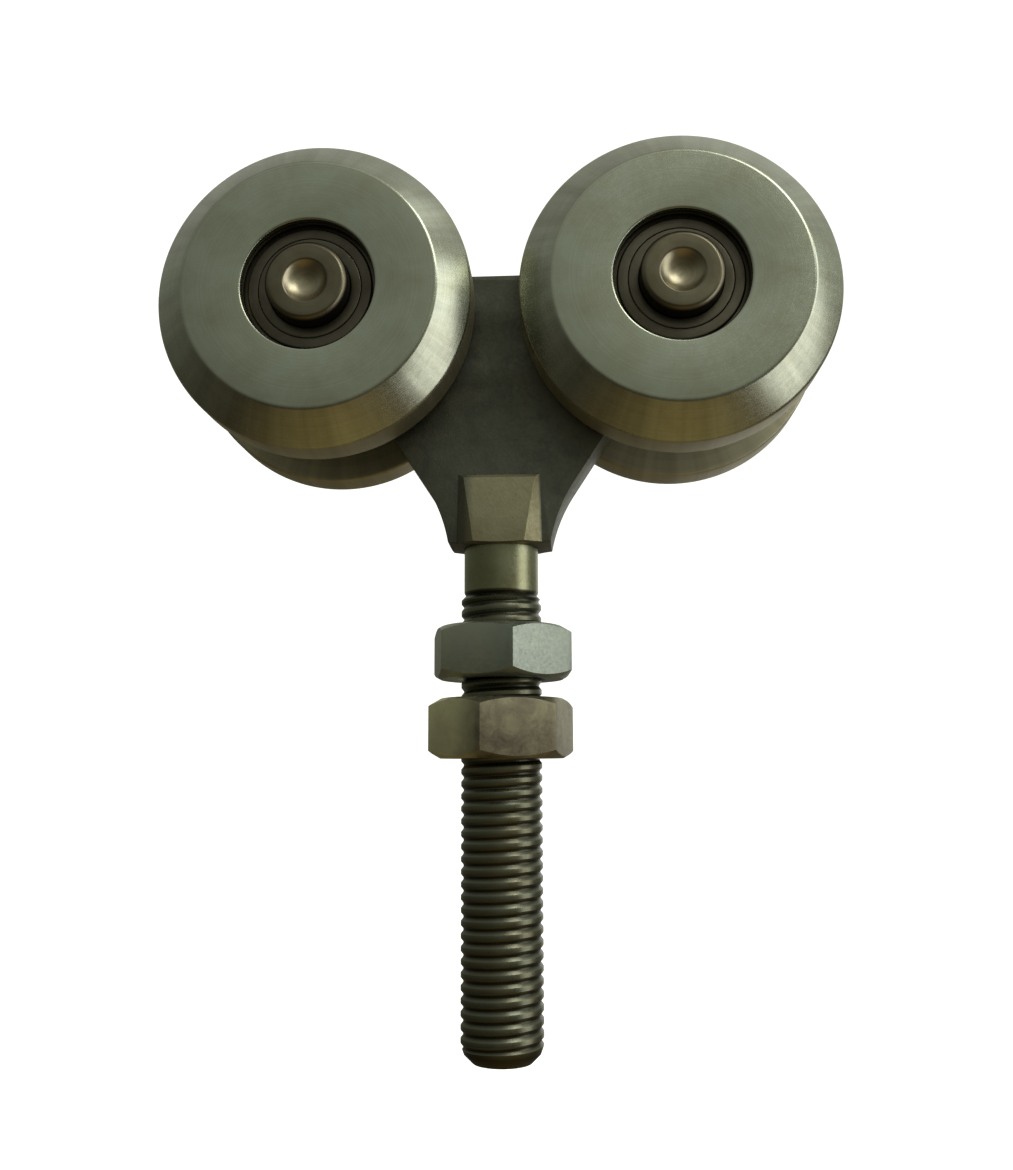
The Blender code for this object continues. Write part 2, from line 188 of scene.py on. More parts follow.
def lathe_space(tree):
    """(distance from the turning axis, height along it, 0), so a pattern in it runs in rings."""
    place = add(tree, "ShaderNodeSeparateXYZ", {"Vector": object_space(tree)})
    flat = add(tree, "ShaderNodeCombineXYZ", {"X": place.outputs["X"], "Y": place.outputs["Y"]})
    radius = add(tree, "ShaderNodeVectorMath", {0: flat.outputs[0]}, operation="LENGTH")
    spun = add(tree, "ShaderNodeCombineXYZ", {"X": radius.outputs["Value"], "Y": place.outputs["Z"]})
    return spun.outputs[0]


def spoke_space(tree):
    """The direction from the turning axis, so a pattern in it runs in spokes."""
    place = add(tree, "ShaderNodeSeparateXYZ", {"Vector": object_space(tree)})
    flat = add(tree, "ShaderNodeCombineXYZ", {"X": place.outputs["X"], "Y": place.outputs["Y"]})
    return add(tree, "ShaderNodeVectorMath", {0: flat.outputs[0]}, operation="NORMALIZE").outputs["Vector"]


def noise(tree, vector, size, detail=3.0, roughness=0.55, distortion=0.0):
    """Noise whose features are about `size` metres across."""
    node = add(
        tree,
        "ShaderNodeTexNoise",
        {
            "Vector": vector,
            "Scale": 1.0 / size,
            "Detail": detail,
            "Roughness": roughness,
            "Distortion": distortion,
        },
    )
    return node.outputs["Fac"]


def spread(tree, value, low, high, to_low=0.0, to_high=1.0):
    """Stretch the part of a value between low and high over a new range."""
    node = add(
        tree,
        "ShaderNodeMapRange",
        {"Value": value, "From Min": low, "From Max": high, "To Min": to_low, "To Max": to_high},
        clamp=True,
    )
    return node.outputs["Result"]


def calculate(tree, operation, first, second=0.0):
    return add(tree, "ShaderNodeMath", {0: first, 1: second}, operation=operation).outputs["Value"]


def mix_colours(tree, factor, first, second):
    node = add(tree, "ShaderNodeMix", data_type="RGBA")
    tree.links.new(factor, node.inputs["Factor"])
    for key, value in (("A", first), ("B", second)):
        socket = [item for item in node.inputs if item.name == key and item.type == "RGBA"][0]
        if isinstance(value, bpy.types.NodeSocket):
            tree.links.new(value, socket)
        else:
            socket.default_value = (*value, 1.0)
    return [item for item in node.outputs if item.type == "RGBA"][0]


def bump(tree, shader, layers):
    """Stack bump layers of (height socket, depth in metres, strength) and link them in."""
    normal = None
    for height, depth, strength in layers:
        node = add(tree, "ShaderNodeBump", {"Height": height, "Distance": depth, "Strength": strength})
        if normal is not None:
            tree.links.new(normal, node.inputs["Normal"])
        normal = node.outputs["Normal"]
    tree.links.new(normal, shader.inputs["Normal"])


def turned_steel(
    name,
    lighter_colour,
    darker_colour,
    roughness,
    polished_from=0.0,
    polished_within=0.0,
    painted_highlight_within=0.0,
    streaks_from=1.0,
    painted_shading=(0.1, 0.1, 0.1),
    dull_roughness=0.5,
):
    """Lathe-turned steel: fine rings round the axis and thin stains.

    It is polished beyond the height polished_from and inside the radius polished_within. Elsewhere it is
    rougher, and its colour is the caller's painted tone: painted light on the wheels' tread and back,
    painted shade on the axles' sides. Inside a given radius round the axis the colour is painted brighter,
    a painted highlight in the axle's dimple. Outside the radius streaks_from, faint streaks cross the
    rings.
    """
    material, tree, shader = new_material(name, roughness, anisotropy=0.35)
    place = add(tree, "ShaderNodeSeparateXYZ", {"Vector": lathe_space(tree)})
    radius = place.outputs["X"]
    height = calculate(tree, "ABSOLUTE", place.outputs["Y"])
    rings = noise(tree, lathe_space(tree), 0.22 * MM, detail=4.0)
    stains = noise(tree, object_space(tree), 5.0 * MM, detail=6.0, roughness=0.62, distortion=0.4)
    grain = noise(tree, object_space(tree), 0.5 * MM, detail=2.0)
    streaks = noise(tree, spoke_space(tree), 0.12, detail=4.0, roughness=0.6)

    outer = spread(tree, radius, streaks_from - 0.2 * MM, streaks_from + 0.2 * MM)
    streak = calculate(tree, "MULTIPLY", outer, spread(tree, streaks, 0.35, 0.65, -0.12, 0.1))
    shine = calculate(tree, "ADD", spread(tree, rings, 0.3, 0.7, 0.91, 1.07), streak)
    # Painted highlight: inside the dimple's radius the colour is brightened.
    centre = spread(tree, radius, painted_highlight_within - 0.15 * MM, painted_highlight_within, DIMPLE_PAINTED_HIGHLIGHT, 1.0)
    shine = calculate(tree, "MULTIPLY", shine, centre)
    high = spread(tree, height, polished_from - 0.1 * MM, polished_from + 0.1 * MM)
    inner = spread(tree, radius, polished_within - 0.1 * MM, polished_within + 0.1 * MM, 1.0, 0.0)
    polished = calculate(tree, "MAXIMUM", high, inner)

    bright = mix_colours(tree, spread(tree, stains, 0.38, 0.68), lighter_colour, darker_colour)
    # Off the polished part the colour is the caller's painted tone.
    colour = mix_colours(tree, polished, painted_shading, bright)
    tint = add(tree, "ShaderNodeVectorMath", {0: colour, "Scale": shine}, operation="SCALE")
    smooth = spread(tree, grain, 0.3, 0.7, roughness - 0.02, roughness + 0.04)
    texture = spread(tree, polished, 0.0, 1.0, dull_roughness, smooth)
    tree.links.new(tint.outputs["Vector"], shader.inputs["Base Color"])
    tree.links.new(texture, shader.inputs["Roughness"])
    tangent = add(tree, "ShaderNodeTangent", direction_type="RADIAL", axis="Z")
    tree.links.new(tangent.outputs["Tangent"], shader.inputs["Tangent"])
    bump(tree, shader, [(rings, 0.008 * MM, 0.35), (stains, 0.02 * MM, 0.12)])
    return material


def forged_steel():
    """Dark forged and blasted steel of the hanger body.

    Where the boss stands proud it is lighter, partly from wear and partly painted light; this light
    tone fades into painted shade towards its -X side.
    """
    material, tree, shader = new_material("body_forged_steel", 0.5)
    space = object_space(tree)
    scale_marks = noise(tree, space, 3.5 * MM, detail=7.0, roughness=0.65, distortion=0.5)
    pits = noise(tree, space, 0.45 * MM, detail=5.0, roughness=0.6)
    patch = spread(tree, scale_marks, 0.35, 0.7)
    dark = mix_colours(tree, patch, (0.095, 0.10, 0.083), (0.145, 0.145, 0.115))
    # The boss's light tone: partly wear, partly painted light.
    proud_tone = mix_colours(tree, patch, (0.30, 0.285, 0.185), (0.25, 0.23, 0.14))
    place = add(tree, "ShaderNodeSeparateXYZ", {"Vector": space})
    depth = calculate(tree, "ABSOLUTE", place.outputs["Y"])
    proud = spread(tree, depth, BODY_HALF_THICKNESS + 0.02 * MM, BODY_HALF_THICKNESS + 0.2 * MM)
    # Painted shade: the boss's light tone fades out towards its -X side.
    reach = spread(tree, place.outputs["X"], -BOSS_CREASE_HALF_WIDTH, -BOSS_FACET_HALF_WIDTH, 0.1, 1.0)
    boss_light_and_wear = calculate(tree, "MULTIPLY", proud, reach)
    tree.links.new(mix_colours(tree, boss_light_and_wear, dark, proud_tone), shader.inputs["Base Color"])
    tree.links.new(spread(tree, pits, 0.3, 0.7, 0.44, 0.62), shader.inputs["Roughness"])
    bump(tree, shader, [(scale_marks, 0.10 * MM, 0.3), (pits, 0.05 * MM, 0.5)])
    return material


def rolled_thread_steel():
    """Stud steel: a light plain shank, then rolled thread, darker towards its roots."""
    material, tree, shader = new_material("stud_rolled_steel", 0.38)
    space = object_space(tree)
    reach = add(tree, "ShaderNodeSeparateXYZ", {"Vector": lathe_space(tree)})
    crest = spread(tree, reach.outputs["X"], STUD_RADIUS - THREAD_DEPTH, STUD_RADIUS - 0.1 * MM)
    stains = noise(tree, space, 4.0 * MM, detail=5.0, roughness=0.6)
    grain = noise(tree, space, 0.35 * MM, detail=4.0)
    patch = spread(tree, stains, 0.35, 0.7)
    proud_tone = mix_colours(tree, patch, (0.115, 0.12, 0.088), (0.11, 0.102, 0.066))
    thread = mix_colours(tree, crest, (0.04, 0.04, 0.03), proud_tone)
    plain = mix_colours(tree, patch, (0.26, 0.27, 0.175), (0.21, 0.205, 0.12))
    shank = spread(tree, reach.outputs["Y"], THREAD_TOP, THREAD_TOP + 0.3 * MM)
    tree.links.new(mix_colours(tree, shank, thread, plain), shader.inputs["Base Color"])
    tree.links.new(spread(tree, grain, 0.3, 0.7, 0.26, 0.38), shader.inputs["Roughness"])
    bump(tree, shader, [(grain, 0.015 * MM, 0.4)])
    return material


def plated_steel(name, lighter_colour, darker_colour, roughness):
    """Zinc-plated nut with faint clouds, and painted light: its -X faces lean to the lighter colour."""
    material, tree, shader = new_material(name, roughness)
    space = object_space(tree)
    clouds = noise(tree, space, 3.0 * MM, detail=5.0, roughness=0.6, distortion=0.8)
    grain = noise(tree, space, 0.4 * MM, detail=4.0)
    place = add(tree, "ShaderNodeSeparateXYZ", {"Vector": space})
    # Painted light: the colour leans lighter towards the nut's -X faces.
    painted_light_lean = spread(tree, place.outputs["X"], -4.0 * MM, -0.5 * MM, 0.1, 0.85)
    light_lean_and_clouds = calculate(tree, "ADD", painted_light_lean, spread(tree, clouds, 0.3, 0.7, -0.15, 0.15))
    colour = mix_colours(tree, light_lean_and_clouds, lighter_colour, darker_colour)
    tree.links.new(colour, shader.inputs["Base Color"])
    texture = spread(tree, grain, 0.3, 0.7, roughness - 0.06, roughness + 0.1)
    tree.links.new(texture, shader.inputs["Roughness"])
    bump(tree, shader, [(clouds, 0.05 * MM, 0.25), (grain, 0.015 * MM, 0.35)])
    return material


def make_materials():
    return {
        "wheel": turned_steel(
            "wheel_turned_steel",
            (0.37, 0.395, 0.325),
            (0.32, 0.325, 0.25),
            0.25,
            polished_from=WHEEL_CHAMFER_OFFSET,
            streaks_from=WHEEL_FACE_RADIUS,
            # Painted light: the tread and back face take a brighter, browner colour than the polished face.
            painted_shading=(0.42, 0.40, 0.29),
            dull_roughness=0.55,
        ),
        "bearing": turned_steel("bearing_ground_steel", (0.115, 0.105, 0.082), (0.085, 0.076, 0.052), 0.42),
        "shield": turned_steel("shield_dark_steel", (0.11, 0.10, 0.078), (0.08, 0.07, 0.05), 0.45),
        "axle": turned_steel(
            "axle_turned_steel",
            (0.16, 0.145, 0.103),
            (0.125, 0.108, 0.07),
            0.32,
            polished_from=AXLE_END_OFFSET - 0.3 * MM,
            polished_within=AXLE_RADIUS - 0.3 * MM,
            # Painted highlight: the dimple is painted brighter.
            painted_highlight_within=DIMPLE_RADIUS,
            # Painted shade: the pin's side, down in the wheel's opening, is painted near black.
            painted_shading=(0.03, 0.028, 0.02),
        ),
        "balls": turned_steel("ball_polished_steel", (0.55, 0.55, 0.52), (0.45, 0.44, 0.4), 0.18),
        "body": forged_steel(),
        "stud": rolled_thread_steel(),
        # Painted light: each nut's -X faces take its lighter colour.
        "upper_nut": plated_steel("upper_nut_zinc", (0.35, 0.37, 0.295), (0.24, 0.27, 0.24), 0.42),
        "lower_nut": plated_steel("lower_nut_zinc", (0.70, 0.68, 0.43), (0.18, 0.155, 0.115), 0.44),
    }


# ---------------------------------------------------------------- shape helpers

TURNED_STEPS = 180
FILLET_STEPS = 4
SHARP_ANGLE = math.radians(32.0)
MERGE_DISTANCE = 0.0005 * MM


def mesh_from(name, shape, sharp=SHARP_ANGLE):
    bmesh.ops.recalc_face_normals(shape, faces=shape.faces)
    mesh = bpy.data.meshes.new(name)
    shape.to_mesh(mesh)
    shape.free()
    mesh.shade_smooth()
    mesh.set_sharp_from_angle(angle=sharp)
    return mesh


def filleted(outline, closed=True):
    """Round the corners of an outline of (radius, height, fillet) points."""
    points = []
    count = len(outline)
    for index, (x, z, fillet) in enumerate(outline):
        at_end = not closed and index in (0, count - 1)
        if fillet == 0.0 or at_end:
            points.append((x, z))
            continue
        before = outline[index - 1]
        after = outline[(index + 1) % count]
        back = (before[0] - x, before[1] - z)
        ahead = (after[0] - x, after[1] - z)
        back_length = math.hypot(*back)
        ahead_length = math.hypot(*ahead)
        reach = min(fillet, 0.45 * back_length, 0.45 * ahead_length)
        start = (x + back[0] / back_length * reach, z + back[1] / back_length * reach)
        end = (x + ahead[0] / ahead_length * reach, z + ahead[1] / ahead_length * reach)
        for step in range(FILLET_STEPS + 1):
            t = step / FILLET_STEPS
            points.append(
                (
                    (1 - t) ** 2 * start[0] + 2 * t * (1 - t) * x + t**2 * end[0],
                    (1 - t) ** 2 * start[1] + 2 * t * (1 - t) * z + t**2 * end[1],
                )
            )
    return points


def turned(name, outline, closed=True, steps=TURNED_STEPS):
    """Spin an outline of (radius, height, fillet) points about Z."""
    shape = bmesh.new()
    points = [shape.verts.new((radius, 0.0, height)) for radius, height in filleted(outline, closed)]
    for start, end in zip(points, points[1:]):
        shape.edges.new((start, end))
    if closed:
        shape.edges.new((points[-1], points[0]))
    bmesh.ops.spin(
        shape,
        geom=shape.verts[:] + shape.edges[:],
        axis=(0.0, 0.0, 1.0),
        angle=math.tau,
        steps=steps,
        use_merge=True,
    )
    bmesh.ops.remove_doubles(shape, verts=shape.verts, dist=MERGE_DISTANCE)
    return mesh_from(name, shape)


def show(name, mesh, material, body, stands_for, matrix):
    """Add one finished piece in place of its CAD nodes."""
    piece = bpy.data.objects.new(name, mesh)
    bpy.context.scene.collection.objects.link(piece)
    mesh.materials.clear()
    mesh.materials.append(material)
    piece.matrix_world = matrix
    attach(piece, body)
    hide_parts(*stands_for)
    return piece


def guide(name, mesh, matrix=None):
    """A shape that only a Boolean reads."""
    helper = bpy.data.objects.new(name, mesh)
    bpy.context.scene.collection.objects.link(helper)
    helper.matrix_world = matrix or Matrix.Identity(4)
    return helper


def carved(name, base_mesh, steps, edge=0.0):
    """Run Boolean steps of (operation, mesh, matrix) on a mesh, soften its edges, and keep the result."""
    base = guide(name + "_blank", base_mesh)
    helpers = []
    for index, (operation, mesh, matrix) in enumerate(steps):
        helper = guide(f"{name}_guide_{index}", mesh, matrix)
        helpers.append(helper)
        boolean = base.modifiers.new(helper.name, "BOOLEAN")
        boolean.operation = operation
        boolean.solver = "EXACT"
        boolean.object = helper
    if edge > 0.0:
        weld = base.modifiers.new("tidy", "WELD")
        weld.merge_threshold = MERGE_DISTANCE
        bevel = base.modifiers.new("soft_edges", "BEVEL")
        bevel.width = edge
        bevel.segments = 3
        bevel.limit_method = "ANGLE"
        bevel.angle_limit = math.radians(25.0)
        bevel.harden_normals = False
    bpy.context.view_layer.update()
    depsgraph = bpy.context.evaluated_depsgraph_get()
    result = bpy.data.meshes.new_from_object(base.evaluated_get(depsgraph))
    result.name = name
    for helper in [base, *helpers]:
        bpy.data.objects.remove(helper, do_unlink=True)
    result.shade_smooth()
    result.set_sharp_from_angle(angle=SHARP_ANGLE)
    return result


def hub_matrix(side, facing):
    """Place a wheel station: its +Z points outwards along the axle."""
    quarter = -facing * math.radians(90.0)
    return Matrix.Translation((side * HALF_SPACING, 0.0, AXLE_HEIGHT)) @ Matrix.Rotation(quarter, 4, "X")


# ---------------------------------------------------------------- wheel stations


def wheel_mesh():
    seat = BEARING_OUTER_RADIUS + FIT
    lip_back = BEARING_FRONT + FIT
    outline = [
        (WHEEL_OPENING_RADIUS, WHEEL_FACE_OFFSET, 0.35 * MM),
        (WHEEL_FACE_RADIUS, WHEEL_FACE_OFFSET, 0.3 * MM),
        (WHEEL_RADIUS, WHEEL_CHAMFER_OFFSET, 0.4 * MM),
        (WHEEL_RADIUS, WHEEL_BACK_OFFSET, 0.4 * MM),
        (seat + 0.5 * MM, WHEEL_BACK_OFFSET, 0.1 * MM),
        (seat, WHEEL_BACK_OFFSET + 0.4 * MM, 0.1 * MM),
        (seat, lip_back, 0.0),
        (WHEEL_OPENING_RADIUS, lip_back, 0.1 * MM),
    ]
    return turned("wheel", outline)


def groove(shoulder_radius, side):
    """Ball groove of a bearing ring, as outline points: side -1 for the inner ring, +1 for the outer."""
    groove_radius = BALL_RADIUS + FIT
    centre = (BEARING_BACK + BEARING_FRONT) / 2
    spread_angle = math.acos(abs(shoulder_radius - BALL_PITCH_RADIUS) / groove_radius)
    count = 11
    points = []
    for index in range(count):
        angle = spread_angle * (2 * index / (count - 1) - 1)
        radius = BALL_PITCH_RADIUS + side * groove_radius * math.cos(angle)
        points.append((radius, centre + groove_radius * math.sin(angle), 0.0))
    return points


def inner_ring_mesh():
    bore = AXLE_RADIUS + FIT
    edge = 0.15 * MM
    outline = [(bore, BEARING_BACK, edge), (INNER_SHOULDER_RADIUS, BEARING_BACK, edge)]
    outline += groove(INNER_SHOULDER_RADIUS, -1)
    outline += [(INNER_SHOULDER_RADIUS, BEARING_FRONT, edge), (bore, BEARING_FRONT, edge)]
    return turned("bearing_inner_ring", outline)


def outer_ring_mesh():
    edge = 0.3 * MM
    outline = [(BEARING_OUTER_RADIUS, BEARING_BACK, edge), (OUTER_SHOULDER_RADIUS, BEARING_BACK, edge)]
    outline += groove(OUTER_SHOULDER_RADIUS, 1)
    outline += [(OUTER_SHOULDER_RADIUS, BEARING_FRONT, edge), (BEARING_OUTER_RADIUS, BEARING_FRONT, edge)]
    return turned("bearing_outer_ring", outline)


def shield_mesh(name, outer_height, sign):
    """Pressed sheet ring: a flat web, and a rim that steps down to hold it in the outer ring."""
    inner = INNER_SHOULDER_RADIUS + 0.05 * MM
    rim = OUTER_SHOULDER_RADIUS - FIT
    sheet = 0.22 * MM
    step = 0.35 * MM
    web = outer_height
    deep = outer_height - sign * step
    outline = [
        (inner, web, 0.06 * MM),
        (SEAL_RADIUS, web, 0.15 * MM),
        (SEAL_RADIUS + 0.12 * MM, deep, 0.05 * MM),
        (rim, deep, 0.05 * MM),
        (rim, deep - sign * sheet, 0.0),
        (SEAL_RADIUS - 0.10 * MM, deep - sign * sheet, 0.05 * MM),
        (SEAL_RADIUS - 0.22 * MM, web - sign * sheet, 0.05 * MM),
        (inner, web - sign * sheet, 0.05 * MM),
    ]
    return turned(name, outline)


def ball_set_mesh():
    """A ring of balls joined by a plain cage ribbon."""
    middle = (BEARING_BACK + BEARING_FRONT) / 2
    shape = bmesh.new()
    for index in range(BALL_COUNT):
        angle = math.tau * index / BALL_COUNT
        ball = bmesh.ops.create_icosphere(shape, subdivisions=3, radius=BALL_RADIUS)
        place = (BALL_PITCH_RADIUS * math.cos(angle), BALL_PITCH_RADIUS * math.sin(angle), middle)
        bmesh.ops.translate(shape, verts=ball["verts"], vec=place)
    balls = mesh_from("ball_set", shape)
    half_width = 0.7 * MM
    half_thickness = 0.25 * MM
    ribbon = turned(
        "cage_ribbon",
        [
            (BALL_PITCH_RADIUS - half_thickness, middle - half_width, 0.1 * MM),
            (BALL_PITCH_RADIUS + half_thickness, middle - half_width, 0.1 * MM),
            (BALL_PITCH_RADIUS + half_thickness, middle + half_width, 0.1 * MM),
            (BALL_PITCH_RADIUS - half_thickness, middle + half_width, 0.1 * MM),
        ],
        steps=90,
    )
    return carved("ball_set", ribbon, [("UNION", balls, None)])


def spacer_mesh():
    back = BODY_HALF_THICKNESS + FIT
    front = BEARING_BACK - FIT
    bore = AXLE_RADIUS + FIT
    edge = 0.2 * MM
    outline = [
        (bore, back, edge),
        (SPACER_RADIUS, back, edge),
        (SPACER_RADIUS, front, edge),
        (bore, front, edge),
    ]
    return turned("spacer", outline)


def make_wheel_stations(finish):
    shield_inset = 0.05 * MM
    outer_shield = shield_mesh("outer_shield", BEARING_FRONT - shield_inset, 1)
    inner_shield = shield_mesh("inner_shield", BEARING_BACK + shield_inset, -1)
    kinds = (
        ("wheel", wheel_mesh(), "roller", "wheel", "wheel_steel"),
        ("bearing_outer_ring", outer_ring_mesh(), "roller", "bearing", "bearing_steel"),
        ("bearing_inner_ring", inner_ring_mesh(), "hanger", "bearing", "bearing_steel"),
        ("bearing_balls", ball_set_mesh(), "ball_set", "balls", "ball_steel"),
        ("outer_shield", outer_shield, "roller", "shield", "shield_steel"),
        ("inner_shield", inner_shield, "roller", "shield", "shield_steel"),
        ("spacer", spacer_mesh(), "hanger", "axle", "axle_steel"),
    )
    for kind, mesh, body, material, slot in kinds:
        for station, (side, facing) in STATIONS.items():
            rides = body if body == "hanger" else f"{station}_{body}"
            node = f"{station}_{kind}"
            show(
                "fine_" + node,
                mesh,
                finish[material],
                rides,
                [node],
                hub_matrix(side, facing),
            )


def make_axles(finish):
    """Pins with chamfered ends and a round-bottomed dimple in each."""
    end = AXLE_END_OFFSET
    half = [(0.0, end - DIMPLE_DEPTH, 0.0)]
    sphere = (DIMPLE_RADIUS**2 + DIMPLE_DEPTH**2) / (2 * DIMPLE_DEPTH)
    widest = math.asin(DIMPLE_RADIUS / sphere)
    for index in range(1, 10):
        angle = widest * index / 10
        half.append((sphere * math.sin(angle), end - DIMPLE_DEPTH + sphere * (1 - math.cos(angle)), 0.0))
    half += [
        (DIMPLE_RADIUS, end, 0.2 * MM),
        (AXLE_RADIUS - 0.5 * MM, end, 0.2 * MM),
        (AXLE_RADIUS, end - 0.5 * MM, 0.2 * MM),
    ]
    outline = half + [(radius, -height, fillet) for radius, height, fillet in reversed(half)]
    mesh = turned("axle", outline, closed=False)
    for node, side in (("left_axle", -1), ("right_axle", 1)):
        show("fine_" + node, mesh, finish["axle"], "hanger", [node], hub_matrix(side, -1))


# ---------------------------------------------------------------- hanger body


def arc(centre_x, centre_z, radius, start, end, count):
    points = []
    for index in range(count):
        angle = start + (end - start) * index / (count - 1)
        points.append((centre_x + radius * math.cos(angle), centre_z + radius * math.sin(angle)))
    return points


def right_flank():
    """Right edge of the body, from the neck's foot to the middle of the saddle, about the axle line."""
    points = []
    count = 19
    for index in range(count):
        heading = FLANK_START + (FLANK_END - FLANK_START) * index / (count - 1)
        x = NECK_HALF_WIDTH + FLANK_RADIUS * (math.cos(FLANK_START) - math.cos(heading))
        z = NECK_BOTTOM + FLANK_RADIUS * (math.sin(heading) - math.sin(FLANK_START))
        points.append((x, z))

    # The flank runs straight until a fillet on its outside touches the eye as well.
    start_x, start_z = points[-1]
    centre_x = start_x + EYE_FILLET * math.cos(FLANK_END) - HALF_SPACING
    centre_z = start_z - EYE_FILLET * math.sin(FLANK_END)
    along = centre_x * math.sin(FLANK_END) + centre_z * math.cos(FLANK_END)
    reach = centre_x**2 + centre_z**2 - (EYE_RADIUS + EYE_FILLET) ** 2
    run = -along - math.sqrt(along**2 - reach)
    centre_x += run * math.sin(FLANK_END)
    centre_z += run * math.cos(FLANK_END)
    touch = math.atan2(centre_z, centre_x)
    points += arc(HALF_SPACING + centre_x, centre_z, EYE_FILLET, math.pi - FLANK_END, touch + math.pi, 16)

    saddle_z = SADDLE_HEIGHT + SADDLE_FILLET
    saddle_x = -math.sqrt((EYE_RADIUS + SADDLE_FILLET) ** 2 - saddle_z**2)
    leave = math.atan2(saddle_z, saddle_x)
    points += arc(HALF_SPACING, 0.0, EYE_RADIUS, touch, leave, 80)[1:]
    points += arc(
        HALF_SPACING + saddle_x, saddle_z, SADDLE_FILLET, leave - math.pi, math.radians(-90.0), 14
    )[1:]
    return points


def plate_mesh():
    shape = bmesh.new()
    right = right_flank()
    outline = right + [(-x, z) for x, z in reversed(right)]
    corners = [shape.verts.new((x, -BODY_HALF_THICKNESS, z)) for x, z in outline]
    face = shape.faces.new(corners)
    grown = bmesh.ops.extrude_face_region(shape, geom=[face])
    moved = [item for item in grown["geom"] if isinstance(item, bmesh.types.BMVert)]
    bmesh.ops.translate(shape, verts=moved, vec=(0.0, 2 * BODY_HALF_THICKNESS, 0.0))
    return mesh_from("plate", shape)


def boss_mesh(facing):
    """Wedge on one face of the neck: a ledge, then a sloping front facet between two side facets."""
    root = facing * BODY_HALF_THICKNESS / 2
    face = facing * BODY_HALF_THICKNESS
    crease = facing * BOSS_CREASE_HALF_DEPTH
    front = facing * BOSS_HALF_DEPTH
    shape = bmesh.new()
    for side in (-1, 1):
        shape.verts.new((side * BOSS_TOP_HALF_WIDTH, face, BOSS_CREASE + BOSS_LEDGE))
        shape.verts.new((side * BOSS_TOP_HALF_WIDTH, root, BOSS_CREASE + BOSS_LEDGE))
        shape.verts.new((side * BOSS_CREASE_HALF_WIDTH, crease, BOSS_CREASE))
        shape.verts.new((side * BOSS_BOTTOM_HALF_WIDTH, face, NECK_BOTTOM))
        shape.verts.new((side * BOSS_BOTTOM_HALF_WIDTH, root, NECK_BOTTOM))
        shape.verts.new((side * BOSS_FACET_HALF_WIDTH, front, NECK_BOTTOM))
    bmesh.ops.convex_hull(shape, input=shape.verts)
    bmesh.ops.dissolve_limit(
        shape, angle_limit=math.radians(1.0), verts=shape.verts, edges=shape.edges
    )
    return mesh_from("boss", shape)


def bore_mesh(radius, low, high):
    outline = [(0.0, high, 0.0), (radius, high, 0.0), (radius, low, 0.0), (0.0, low, 0.0)]
    return turned("bore", outline, closed=False, steps=96)


def neck_chamfer_mesh():
    """Ring that leaves a cone on the neck's lower end."""
    rise = math.tan(NECK_CHAMFER_ANGLE)
    inset = 0.2 * MM
    outline = [
        (NECK_BORE_RADIUS - inset, NECK_BOTTOM - inset * rise, 0.0),
        (NECK_CHAMFER_REACH, NECK_BOTTOM - inset * rise, 0.0),
        (NECK_CHAMFER_REACH, NECK_BOTTOM + (NECK_CHAMFER_REACH - NECK_BORE_RADIUS) * rise, 0.0),
    ]
    return turned("neck_chamfer", outline, steps=96)


def make_hanger_body(finish):
    across = Matrix.Rotation(math.radians(90.0), 4, "X")
    axle_bore = bore_mesh(AXLE_RADIUS + FIT, -2 * BODY_HALF_THICKNESS, 2 * BODY_HALF_THICKNESS)
    stud_bore = bore_mesh(SHANK_RADIUS + FIT, NECK_BOTTOM - 1.0 * MM, NECK_BOTTOM + 4.0 * MM)
    steps = [
        ("UNION", boss_mesh(-1), None),
        ("UNION", boss_mesh(1), None),
        ("DIFFERENCE", neck_chamfer_mesh(), None),
        ("DIFFERENCE", stud_bore, None),
        ("DIFFERENCE", axle_bore, Matrix.Translation((-HALF_SPACING, 0.0, 0.0)) @ across),
        ("DIFFERENCE", axle_bore.copy(), Matrix.Translation((HALF_SPACING, 0.0, 0.0)) @ across),
    ]
    mesh = carved("hanger_body_fine", plate_mesh(), steps, edge=BODY_EDGE)
    place = Matrix.Translation((0.0, 0.0, AXLE_HEIGHT))
    show("fine_hanger_body", mesh, finish["body"], "hanger", ["hanger_body"], place)


# ---------------------------------------------------------------- stud and nuts

THREAD_STEPS = 96


def thread_profile():
    """One pitch of the thread as (share of the pitch, radius), with a wide crest and a round root."""
    root = STUD_RADIUS - THREAD_DEPTH
    soft = THREAD_DEPTH * 0.12
    return [
        (0.00, STUD_RADIUS),
        (0.32, STUD_RADIUS),
        (0.37, STUD_RADIUS - soft),
        (0.56, root + 1.4 * soft),
        (0.61, root + 0.3 * soft),
        (0.67, root),
        (0.73, root + 0.3 * soft),
        (0.78, root + 1.4 * soft),
        (0.96, STUD_RADIUS - soft),
    ]


